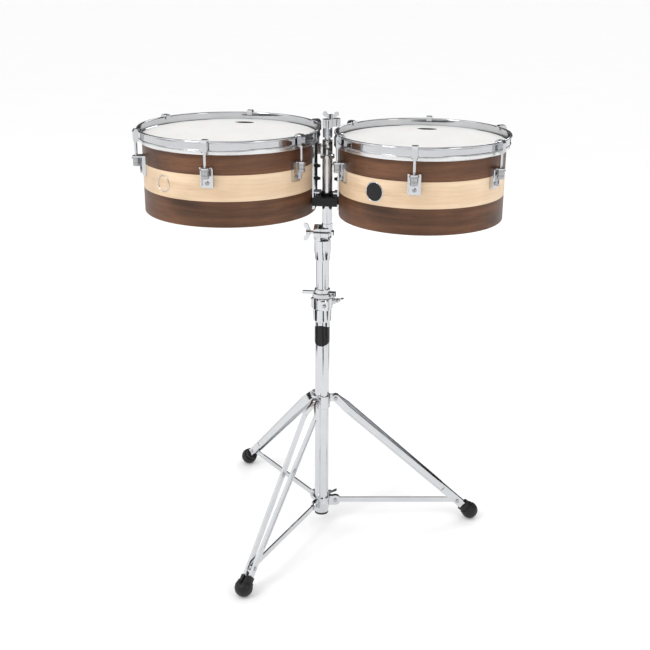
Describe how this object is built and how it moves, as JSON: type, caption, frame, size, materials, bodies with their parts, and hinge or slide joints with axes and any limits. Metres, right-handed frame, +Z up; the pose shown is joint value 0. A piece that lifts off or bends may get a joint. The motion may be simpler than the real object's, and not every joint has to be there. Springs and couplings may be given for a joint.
{
  "type": "timbales",
  "caption": "Pair of shallow wooden drums with steel counterhoops on a height-adjustable folding tripod stand.",
  "frame": {"origin": "on the floor under the middle of the object's box", "axes": "+Z up, +X along the row of drums towards the smaller one, -Y towards the audience"},
  "size_m": [0.8136, 0.6592, 0.9955],
  "materials": {
    "chrome": "polished chrome plate",
    "fastener": "plated steel",
    "bushing": "moulded nylon",
    "rubber": "satin moulded rubber",
    "black_metal": "black powder coat",
    "badge": "gloss black with a metal rim",
    "walnut": "satin walnut veneer",
    "maple": "satin maple veneer",
    "film": "coated film",
    "flesh_aluminium": "satin aluminium"
  },
  "bodies": {
    "stand": {"base_tube": "chrome", "end_plug": "bushing", "height_bushing": "bushing", "height_clamp": "chrome", "clamp_key_screw": "fastener", "tube_badge": "badge", "leg_collar": "chrome", "leg_pivot_rivets": "fastener"},
    "height_lock": {"memory_lock": "chrome", "lock_key_screw": "fastener"},
    "column": {"height_tube": "chrome", "tilter_base": "chrome"},
    "tilter_wing": {"tilter_wing_bolt": "chrome"},
    "drums": {"tilter_head": "chrome", "upper_post": "chrome", "bridge": "black_metal", "post_head": "chrome", "mount_bolts": "black_metal", "drum_badges": "badge", "left_shell": "walnut", "left_band": "maple", "left_head": "film", "left_flesh_hoop": "flesh_aluminium", "left_lugs": "chrome", "left_lug_nuts": "fastener", "left_mount": "chrome", "right_shell": "walnut", "right_band": "maple", "right_head": "film", "right_flesh_hoop": "flesh_aluminium", "right_lugs": "chrome", "right_lug_nuts": "fastener", "right_mount": "chrome"},
    "left_hoop": {"left_counterhoop": "chrome", "left_claws": "chrome", "left_tension_rods": "chrome"},
    "right_hoop": {"right_counterhoop": "chrome", "right_claws": "chrome", "right_tension_rods": "chrome"},
    "accessory_post": {"accessory_rod": "chrome"},
    "rod_screw": {"rod_wing_screw": "chrome"},
    "accessory_arm": {"rod_clamp": "chrome"},
    "accessory_wing": {"rod_clamp_wing_bolt": "chrome"},
    "height_wing": {"height_wing_screw": "chrome"},
    "collar": {"sliding_collar": "chrome", "brace_pivot_rivets": "fastener"},
    "collar_wing": {"collar_wing_bolt": "chrome"},
    "leg_1_assembly": {"leg_1": "chrome", "foot_1": "rubber", "brace_rivets_1": "fastener"},
    "brace_1_bar": {"brace_1": "chrome"},
    "leg_2_assembly": {"leg_2": "chrome", "foot_2": "rubber", "brace_rivets_2": "fastener"},
    "brace_2_bar": {"brace_2": "chrome"},
    "leg_3_assembly": {"leg_3": "chrome", "foot_3": "rubber", "brace_rivets_3": "fastener"},
    "brace_3_bar": {"brace_3": "chrome"}
  },
  "joints": [
    {"name": "height_slide", "type": "slide", "parent": "stand", "child": "height_lock", "axis": [0, 0, 1], "range_m": [0, 0.2]},
    {"name": "post_swivel", "type": "hinge", "parent": "height_lock", "child": "column", "pos_m": [0.0027, 0.03799, 0.58705], "axis": [0, 0, 1], "continuous": true},
    {"name": "drum_tilt", "type": "hinge", "parent": "column", "child": "drums", "pos_m": [0.0027, 0.03799, 0.72805], "axis": [1, 0, 0], "range_deg": [-60, 60]},
    {"name": "tilter_wing_turn", "type": "hinge", "parent": "column", "child": "tilter_wing", "pos_m": [-0.0253, 0.03799, 0.72805], "axis": [-1, 0, 0], "continuous": true},
    {"name": "left_hoop_tuning", "type": "slide", "parent": "drums", "child": "left_hoop", "axis": [0, 0, 1], "range_m": [0, 0.003]},
    {"name": "right_hoop_tuning", "type": "slide", "parent": "drums", "child": "right_hoop", "axis": [0, 0, 1], "range_m": [0, 0.003]},
    {"name": "accessory_post_slide", "type": "slide", "parent": "drums", "child": "accessory_post", "axis": [0, 0, 1], "range_m": [0, 0.1]},
    {"name": "rod_screw_turn", "type": "hinge", "parent": "drums", "child": "rod_screw", "pos_m": [0.0171, 0.02157, 0.92205], "axis": [0.2588, -0.9659, 0], "continuous": true},
    {"name": "accessory_arm_swivel", "type": "hinge", "parent": "accessory_post", "child": "accessory_arm", "pos_m": [0.0127, 0.03799, 0.96355], "axis": [0, 0, 1], "continuous": true},
    {"name": "accessory_wing_turn", "type": "hinge", "parent": "accessory_arm", "child": "accessory_wing", "pos_m": [0.0192, 0.03799, 0.98005], "axis": [0, 0, 1], "continuous": true},
    {"name": "height_wing_turn", "type": "hinge", "parent": "stand", "child": "height_wing", "pos_m": [0.03178, 0.05836, 0.563], "axis": [0.8192, 0.5736, 0], "continuous": true},
    {"name": "collar_slide", "type": "slide", "parent": "stand", "child": "collar", "axis": [0, 0, 1], "range_m": [0, 0.16132]},
    {"name": "collar_wing_turn", "type": "hinge", "parent": "collar", "child": "collar_wing", "pos_m": [0.01398, 0.07271, 0.0563], "axis": [0.309, 0.9511, 0], "continuous": true},
    {"name": "leg_1_fold", "type": "hinge", "parent": "stand", "child": "leg_1_assembly", "pos_m": [0.0342, 0.04469, 0.32704], "axis": [-0.2079, 0.9781, 0], "range_deg": [0, 47.35]},
    {"name": "brace_1_fold", "type": "hinge", "parent": "collar", "child": "brace_1_bar", "pos_m": [0.03537, 0.04494, 0.0563], "axis": [-0.2079, 0.9781, 0], "range_deg": [0, 89.08]},
    {"name": "leg_2_fold", "type": "hinge", "parent": "stand", "child": "leg_2_assembly", "pos_m": [-0.01885, 0.06192, 0.32704], "axis": [-0.7431, -0.6691, 0], "range_deg": [0, 47.35]},
    {"name": "brace_2_fold", "type": "hinge", "parent": "collar", "child": "brace_2_bar", "pos_m": [-0.01965, 0.06281, 0.0563], "axis": [-0.7431, -0.6691, 0], "range_deg": [0, 89.08]},
    {"name": "leg_3_fold", "type": "hinge", "parent": "stand", "child": "leg_3_assembly", "pos_m": [-0.00725, 0.00737, 0.32704], "axis": [0.9511, -0.309, 0], "range_deg": [0, 47.35]},
    {"name": "brace_3_fold", "type": "hinge", "parent": "collar", "child": "brace_3_bar", "pos_m": [-0.00762, 0.00623, 0.0563], "axis": [0.9511, -0.309, 0], "range_deg": [0, 89.08]}
  ],
  "couplings": [
    {"joint": "leg_1_fold", "follows": "collar_slide", "rad_per_m": 5.1174},
    {"joint": "brace_1_fold", "follows": "collar_slide", "rad_per_m": 9.6317},
    {"joint": "leg_2_fold", "follows": "collar_slide", "rad_per_m": 5.1174},
    {"joint": "brace_2_fold", "follows": "collar_slide", "rad_per_m": 9.6317},
    {"joint": "leg_3_fold", "follows": "collar_slide", "rad_per_m": 5.1174},
    {"joint": "brace_3_fold", "follows": "collar_slide", "rad_per_m": 9.6317}
  ]
}
